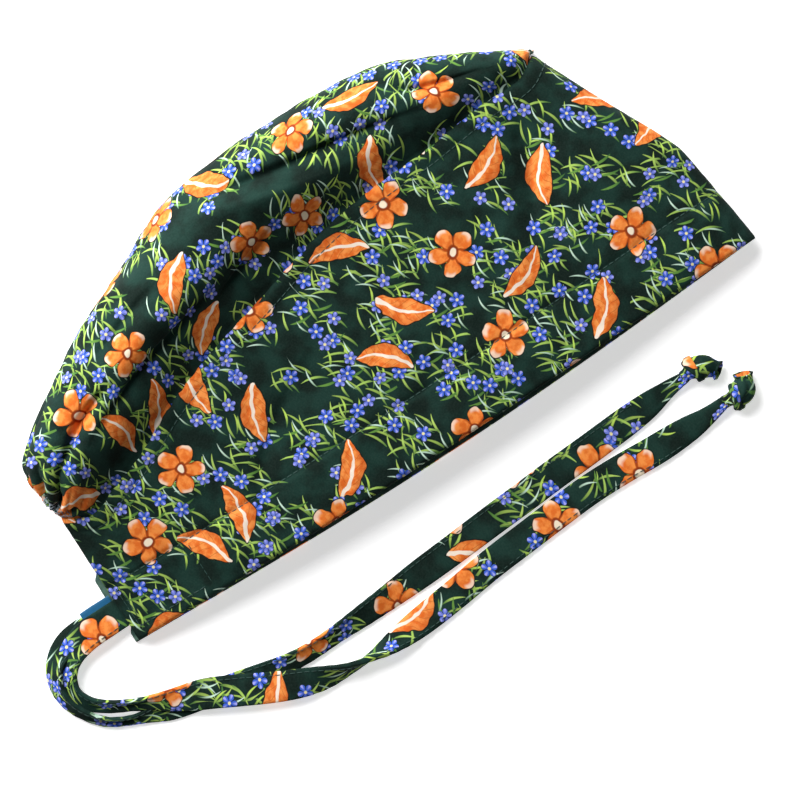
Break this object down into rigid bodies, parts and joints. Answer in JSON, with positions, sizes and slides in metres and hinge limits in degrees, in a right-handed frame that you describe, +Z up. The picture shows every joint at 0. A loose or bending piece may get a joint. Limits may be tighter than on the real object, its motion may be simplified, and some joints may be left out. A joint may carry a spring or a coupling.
{
  "type": "tie-back surgical scrub cap",
  "caption": "Cloth scrub cap with a puffy crown, a stitched hem, a gathered nape elastic and two knotted ties, lying on its side.",
  "frame": {"origin": "under the middle of the cap without its ties, on the surface that the cap lies on", "axes": "+X along the hem from the nape to the forehead, +Y from the hem to the crown, +Z up from the surface"},
  "size_m": [0.3383, 0.2066, 0.0402],
  "materials": {
    "printed_cotton": "matte",
    "label_ribbon": "satin"
  },
  "bodies": {
    "root": {"side_panel": "printed_cotton", "crown_panel": "printed_cotton", "nape_elastic": "printed_cotton", "near_tie": "printed_cotton", "far_tie": "printed_cotton", "near_knot": "printed_cotton", "far_knot": "printed_cotton", "label_tab": "label_ribbon"}
  },
  "joints": []
}
